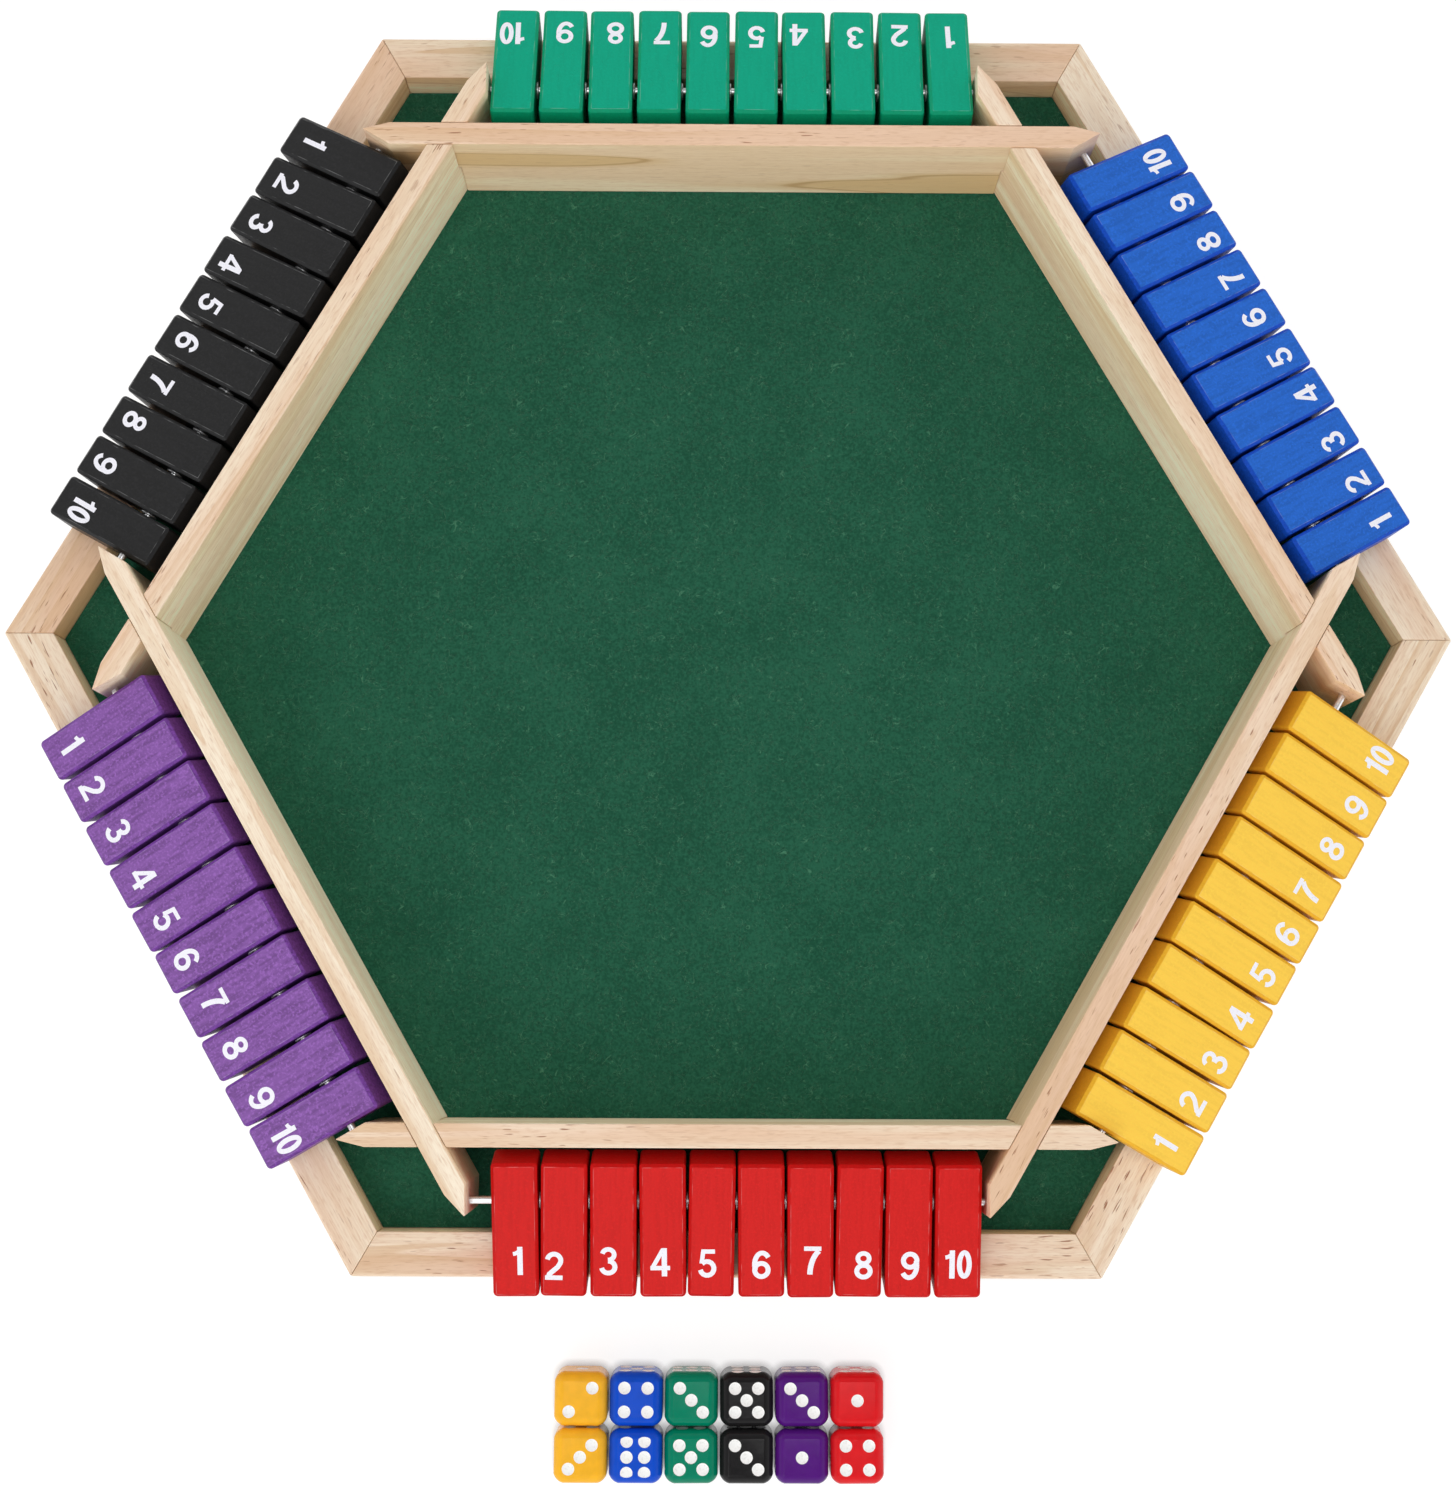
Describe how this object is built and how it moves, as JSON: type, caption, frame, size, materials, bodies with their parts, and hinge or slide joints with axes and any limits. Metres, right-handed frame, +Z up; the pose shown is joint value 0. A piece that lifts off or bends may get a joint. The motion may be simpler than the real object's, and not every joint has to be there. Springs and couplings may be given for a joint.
{
  "type": "shut the box game",
  "caption": "Six-sided wooden shut the box game: a felt dice tray inside low walls, with a row of numbered flip-over flaps along each side, and dice.",
  "frame": {"origin": "centre of the base board's underside, where the game stands on a table", "axes": "+Z up out of the tray; -Y towards the row of red flaps and the dice; +X to the right seen from there"},
  "size_m": [0.39, 0.3939, 0.038],
  "materials": {
    "board": "plain",
    "felt": "matte",
    "pine": "sanded",
    "steel": "polished",
    "dice": "gloss",
    "paint_green": "satin paint",
    "paint_blue": "satin paint",
    "paint_yellow": "satin paint",
    "paint_red": "satin paint",
    "paint_purple": "satin paint",
    "paint_black": "satin paint"
  },
  "bodies": {
    "board": {"base_board": "board", "felt_lining": "felt", "frame_rails": "pine", "inner_walls": "pine", "hinge_rods_and_washers": "steel"},
    "dice": {"dice": "dice"},
    "flap_green_1": {"flap_green_1": "paint_green"},
    "flap_green_2": {"flap_green_2": "paint_green"},
    "flap_green_3": {"flap_green_3": "paint_green"},
    "flap_green_4": {"flap_green_4": "paint_green"},
    "flap_green_5": {"flap_green_5": "paint_green"},
    "flap_green_6": {"flap_green_6": "paint_green"},
    "flap_green_7": {"flap_green_7": "paint_green"},
    "flap_green_8": {"flap_green_8": "paint_green"},
    "flaps_green_9_10": {"flaps_green_9_10": "paint_green"},
    "flap_blue_1": {"flap_blue_1": "paint_blue"},
    "flap_blue_2": {"flap_blue_2": "paint_blue"},
    "flap_blue_3": {"flap_blue_3": "paint_blue"},
    "flap_blue_4": {"flap_blue_4": "paint_blue"},
    "flap_blue_5": {"flap_blue_5": "paint_blue"},
    "flap_blue_6": {"flap_blue_6": "paint_blue"},
    "flap_blue_7": {"flap_blue_7": "paint_blue"},
    "flap_blue_8": {"flap_blue_8": "paint_blue"},
    "flaps_blue_9_10": {"flaps_blue_9_10": "paint_blue"},
    "flap_yellow_1": {"flap_yellow_1": "paint_yellow"},
    "flap_yellow_2": {"flap_yellow_2": "paint_yellow"},
    "flap_yellow_3": {"flap_yellow_3": "paint_yellow"},
    "flap_yellow_4": {"flap_yellow_4": "paint_yellow"},
    "flap_yellow_5": {"flap_yellow_5": "paint_yellow"},
    "flap_yellow_6": {"flap_yellow_6": "paint_yellow"},
    "flap_yellow_7": {"flap_yellow_7": "paint_yellow"},
    "flap_yellow_8": {"flap_yellow_8": "paint_yellow"},
    "flaps_yellow_9_10": {"flaps_yellow_9_10": "paint_yellow"},
    "flap_red_1": {"flap_red_1": "paint_red"},
    "flap_red_2": {"flap_red_2": "paint_red"},
    "flap_red_3": {"flap_red_3": "paint_red"},
    "flap_red_4": {"flap_red_4": "paint_red"},
    "flap_red_5": {"flap_red_5": "paint_red"},
    "flap_red_6": {"flap_red_6": "paint_red"},
    "flap_red_7": {"flap_red_7": "paint_red"},
    "flap_red_8": {"flap_red_8": "paint_red"},
    "flaps_red_9_10": {"flaps_red_9_10": "paint_red"},
    "flap_purple_1": {"flap_purple_1": "paint_purple"},
    "flap_purple_2": {"flap_purple_2": "paint_purple"},
    "flap_purple_3": {"flap_purple_3": "paint_purple"},
    "flap_purple_4": {"flap_purple_4": "paint_purple"},
    "flap_purple_5": {"flap_purple_5": "paint_purple"},
    "flap_purple_6": {"flap_purple_6": "paint_purple"},
    "flap_purple_7": {"flap_purple_7": "paint_purple"},
    "flap_purple_8": {"flap_purple_8": "paint_purple"},
    "flaps_purple_9_10": {"flaps_purple_9_10": "paint_purple"},
    "flap_black_1": {"flap_black_1": "paint_black"},
    "flap_black_2": {"flap_black_2": "paint_black"},
    "flap_black_3": {"flap_black_3": "paint_black"},
    "flap_black_4": {"flap_black_4": "paint_black"},
    "flap_black_5": {"flap_black_5": "paint_black"},
    "flap_black_6": {"flap_black_6": "paint_black"},
    "flap_black_7": {"flap_black_7": "paint_black"},
    "flap_black_8": {"flap_black_8": "paint_black"},
    "flaps_black_9_10": {"flaps_black_9_10": "paint_black"}
  },
  "joints": [
    {"name": "dice_lift", "type": "slide", "parent": "board", "child": "dice", "axis": [0, 0, 1], "range_m": [0, 0.05]},
    {"name": "flap_green_1_hinge", "type": "hinge", "parent": "board", "child": "flap_green_1", "pos_m": [0, 0.1482, 0.0272], "axis": [1, 0, 0], "range_deg": [0, 139]},
    {"name": "flap_green_2_hinge", "type": "hinge", "parent": "board", "child": "flap_green_2", "pos_m": [0, 0.1482, 0.0272], "axis": [1, 0, 0], "range_deg": [0, 139]},
    {"name": "flap_green_3_hinge", "type": "hinge", "parent": "board", "child": "flap_green_3", "pos_m": [0, 0.1482, 0.0272], "axis": [1, 0, 0], "range_deg": [0, 139]},
    {"name": "flap_green_4_hinge", "type": "hinge", "parent": "board", "child": "flap_green_4", "pos_m": [0, 0.1482, 0.0272], "axis": [1, 0, 0], "range_deg": [0, 139]},
    {"name": "flap_green_5_hinge", "type": "hinge", "parent": "board", "child": "flap_green_5", "pos_m": [0, 0.1482, 0.0272], "axis": [1, 0, 0], "range_deg": [0, 139]},
    {"name": "flap_green_6_hinge", "type": "hinge", "parent": "board", "child": "flap_green_6", "pos_m": [0, 0.1482, 0.0272], "axis": [1, 0, 0], "range_deg": [0, 139]},
    {"name": "flap_green_7_hinge", "type": "hinge", "parent": "board", "child": "flap_green_7", "pos_m": [0, 0.1482, 0.0272], "axis": [1, 0, 0], "range_deg": [0, 139]},
    {"name": "flap_green_8_hinge", "type": "hinge", "parent": "board", "child": "flap_green_8", "pos_m": [0, 0.1482, 0.0272], "axis": [1, 0, 0], "range_deg": [0, 139]},
    {"name": "flaps_green_9_10_hinge", "type": "hinge", "parent": "board", "child": "flaps_green_9_10", "pos_m": [0, 0.1482, 0.0272], "axis": [1, 0, 0], "range_deg": [0, 139]},
    {"name": "flap_blue_1_hinge", "type": "hinge", "parent": "board", "child": "flap_blue_1", "pos_m": [0.12834, 0.0741, 0.0272], "axis": [0.5, -0.866, 0], "range_deg": [0, 139]},
    {"name": "flap_blue_2_hinge", "type": "hinge", "parent": "board", "child": "flap_blue_2", "pos_m": [0.12834, 0.0741, 0.0272], "axis": [0.5, -0.866, 0], "range_deg": [0, 139]},
    {"name": "flap_blue_3_hinge", "type": "hinge", "parent": "board", "child": "flap_blue_3", "pos_m": [0.12834, 0.0741, 0.0272], "axis": [0.5, -0.866, 0], "range_deg": [0, 139]},
    {"name": "flap_blue_4_hinge", "type": "hinge", "parent": "board", "child": "flap_blue_4", "pos_m": [0.12834, 0.0741, 0.0272], "axis": [0.5, -0.866, 0], "range_deg": [0, 139]},
    {"name": "flap_blue_5_hinge", "type": "hinge", "parent": "board", "child": "flap_blue_5", "pos_m": [0.12834, 0.0741, 0.0272], "axis": [0.5, -0.866, 0], "range_deg": [0, 139]},
    {"name": "flap_blue_6_hinge", "type": "hinge", "parent": "board", "child": "flap_blue_6", "pos_m": [0.12834, 0.0741, 0.0272], "axis": [0.5, -0.866, 0], "range_deg": [0, 139]},
    {"name": "flap_blue_7_hinge", "type": "hinge", "parent": "board", "child": "flap_blue_7", "pos_m": [0.12834, 0.0741, 0.0272], "axis": [0.5, -0.866, 0], "range_deg": [0, 139]},
    {"name": "flap_blue_8_hinge", "type": "hinge", "parent": "board", "child": "flap_blue_8", "pos_m": [0.12834, 0.0741, 0.0272], "axis": [0.5, -0.866, 0], "range_deg": [0, 139]},
    {"name": "flaps_blue_9_10_hinge", "type": "hinge", "parent": "board", "child": "flaps_blue_9_10", "pos_m": [0.12834, 0.0741, 0.0272], "axis": [0.5, -0.866, 0], "range_deg": [0, 139]},
    {"name": "flap_yellow_1_hinge", "type": "hinge", "parent": "board", "child": "flap_yellow_1", "pos_m": [0.12834, -0.0741, 0.0272], "axis": [-0.5, -0.866, 0], "range_deg": [0, 139]},
    {"name": "flap_yellow_2_hinge", "type": "hinge", "parent": "board", "child": "flap_yellow_2", "pos_m": [0.12834, -0.0741, 0.0272], "axis": [-0.5, -0.866, 0], "range_deg": [0, 139]},
    {"name": "flap_yellow_3_hinge", "type": "hinge", "parent": "board", "child": "flap_yellow_3", "pos_m": [0.12834, -0.0741, 0.0272], "axis": [-0.5, -0.866, 0], "range_deg": [0, 139]},
    {"name": "flap_yellow_4_hinge", "type": "hinge", "parent": "board", "child": "flap_yellow_4", "pos_m": [0.12834, -0.0741, 0.0272], "axis": [-0.5, -0.866, 0], "range_deg": [0, 139]},
    {"name": "flap_yellow_5_hinge", "type": "hinge", "parent": "board", "child": "flap_yellow_5", "pos_m": [0.12834, -0.0741, 0.0272], "axis": [-0.5, -0.866, 0], "range_deg": [0, 139]},
    {"name": "flap_yellow_6_hinge", "type": "hinge", "parent": "board", "child": "flap_yellow_6", "pos_m": [0.12834, -0.0741, 0.0272], "axis": [-0.5, -0.866, 0], "range_deg": [0, 139]},
    {"name": "flap_yellow_7_hinge", "type": "hinge", "parent": "board", "child": "flap_yellow_7", "pos_m": [0.12834, -0.0741, 0.0272], "axis": [-0.5, -0.866, 0], "range_deg": [0, 139]},
    {"name": "flap_yellow_8_hinge", "type": "hinge", "parent": "board", "child": "flap_yellow_8", "pos_m": [0.12834, -0.0741, 0.0272], "axis": [-0.5, -0.866, 0], "range_deg": [0, 139]},
    {"name": "flaps_yellow_9_10_hinge", "type": "hinge", "parent": "board", "child": "flaps_yellow_9_10", "pos_m": [0.12834, -0.0741, 0.0272], "axis": [-0.5, -0.866, 0], "range_deg": [0, 139]},
    {"name": "flap_red_1_hinge", "type": "hinge", "parent": "board", "child": "flap_red_1", "pos_m": [0, -0.1482, 0.0272], "axis": [-1, 0, 0], "range_deg": [0, 139]},
    {"name": "flap_red_2_hinge", "type": "hinge", "parent": "board", "child": "flap_red_2", "pos_m": [0, -0.1482, 0.0272], "axis": [-1, 0, 0], "range_deg": [0, 139]},
    {"name": "flap_red_3_hinge", "type": "hinge", "parent": "board", "child": "flap_red_3", "pos_m": [0, -0.1482, 0.0272], "axis": [-1, 0, 0], "range_deg": [0, 139]},
    {"name": "flap_red_4_hinge", "type": "hinge", "parent": "board", "child": "flap_red_4", "pos_m": [0, -0.1482, 0.0272], "axis": [-1, 0, 0], "range_deg": [0, 139]},
    {"name": "flap_red_5_hinge", "type": "hinge", "parent": "board", "child": "flap_red_5", "pos_m": [0, -0.1482, 0.0272], "axis": [-1, 0, 0], "range_deg": [0, 139]},
    {"name": "flap_red_6_hinge", "type": "hinge", "parent": "board", "child": "flap_red_6", "pos_m": [0, -0.1482, 0.0272], "axis": [-1, 0, 0], "range_deg": [0, 139]},
    {"name": "flap_red_7_hinge", "type": "hinge", "parent": "board", "child": "flap_red_7", "pos_m": [0, -0.1482, 0.0272], "axis": [-1, 0, 0], "range_deg": [0, 139]},
    {"name": "flap_red_8_hinge", "type": "hinge", "parent": "board", "child": "flap_red_8", "pos_m": [0, -0.1482, 0.0272], "axis": [-1, 0, 0], "range_deg": [0, 139]},
    {"name": "flaps_red_9_10_hinge", "type": "hinge", "parent": "board", "child": "flaps_red_9_10", "pos_m": [0, -0.1482, 0.0272], "axis": [-1, 0, 0], "range_deg": [0, 139]},
    {"name": "flap_purple_1_hinge", "type": "hinge", "parent": "board", "child": "flap_purple_1", "pos_m": [-0.12834, -0.0741, 0.0272], "axis": [-0.5, 0.866, 0], "range_deg": [0, 139]},
    {"name": "flap_purple_2_hinge", "type": "hinge", "parent": "board", "child": "flap_purple_2", "pos_m": [-0.12834, -0.0741, 0.0272], "axis": [-0.5, 0.866, 0], "range_deg": [0, 139]},
    {"name": "flap_purple_3_hinge", "type": "hinge", "parent": "board", "child": "flap_purple_3", "pos_m": [-0.12834, -0.0741, 0.0272], "axis": [-0.5, 0.866, 0], "range_deg": [0, 139]},
    {"name": "flap_purple_4_hinge", "type": "hinge", "parent": "board", "child": "flap_purple_4", "pos_m": [-0.12834, -0.0741, 0.0272], "axis": [-0.5, 0.866, 0], "range_deg": [0, 139]},
    {"name": "flap_purple_5_hinge", "type": "hinge", "parent": "board", "child": "flap_purple_5", "pos_m": [-0.12834, -0.0741, 0.0272], "axis": [-0.5, 0.866, 0], "range_deg": [0, 139]},
    {"name": "flap_purple_6_hinge", "type": "hinge", "parent": "board", "child": "flap_purple_6", "pos_m": [-0.12834, -0.0741, 0.0272], "axis": [-0.5, 0.866, 0], "range_deg": [0, 139]},
    {"name": "flap_purple_7_hinge", "type": "hinge", "parent": "board", "child": "flap_purple_7", "pos_m": [-0.12834, -0.0741, 0.0272], "axis": [-0.5, 0.866, 0], "range_deg": [0, 139]},
    {"name": "flap_purple_8_hinge", "type": "hinge", "parent": "board", "child": "flap_purple_8", "pos_m": [-0.12834, -0.0741, 0.0272], "axis": [-0.5, 0.866, 0], "range_deg": [0, 139]},
    {"name": "flaps_purple_9_10_hinge", "type": "hinge", "parent": "board", "child": "flaps_purple_9_10", "pos_m": [-0.12834, -0.0741, 0.0272], "axis": [-0.5, 0.866, 0], "range_deg": [0, 139]},
    {"name": "flap_black_1_hinge", "type": "hinge", "parent": "board", "child": "flap_black_1", "pos_m": [-0.12834, 0.0741, 0.0272], "axis": [0.5, 0.866, 0], "range_deg": [0, 139]},
    {"name": "flap_black_2_hinge", "type": "hinge", "parent": "board", "child": "flap_black_2", "pos_m": [-0.12834, 0.0741, 0.0272], "axis": [0.5, 0.866, 0], "range_deg": [0, 139]},
    {"name": "flap_black_3_hinge", "type": "hinge", "parent": "board", "child": "flap_black_3", "pos_m": [-0.12834, 0.0741, 0.0272], "axis": [0.5, 0.866, 0], "range_deg": [0, 139]},
    {"name": "flap_black_4_hinge", "type": "hinge", "parent": "board", "child": "flap_black_4", "pos_m": [-0.12834, 0.0741, 0.0272], "axis": [0.5, 0.866, 0], "range_deg": [0, 139]},
    {"name": "flap_black_5_hinge", "type": "hinge", "parent": "board", "child": "flap_black_5", "pos_m": [-0.12834, 0.0741, 0.0272], "axis": [0.5, 0.866, 0], "range_deg": [0, 139]},
    {"name": "flap_black_6_hinge", "type": "hinge", "parent": "board", "child": "flap_black_6", "pos_m": [-0.12834, 0.0741, 0.0272], "axis": [0.5, 0.866, 0], "range_deg": [0, 139]},
    {"name": "flap_black_7_hinge", "type": "hinge", "parent": "board", "child": "flap_black_7", "pos_m": [-0.12834, 0.0741, 0.0272], "axis": [0.5, 0.866, 0], "range_deg": [0, 139]},
    {"name": "flap_black_8_hinge", "type": "hinge", "parent": "board", "child": "flap_black_8", "pos_m": [-0.12834, 0.0741, 0.0272], "axis": [0.5, 0.866, 0], "range_deg": [0, 139]},
    {"name": "flaps_black_9_10_hinge", "type": "hinge", "parent": "board", "child": "flaps_black_9_10", "pos_m": [-0.12834, 0.0741, 0.0272], "axis": [0.5, 0.866, 0], "range_deg": [0, 139]}
  ]
}
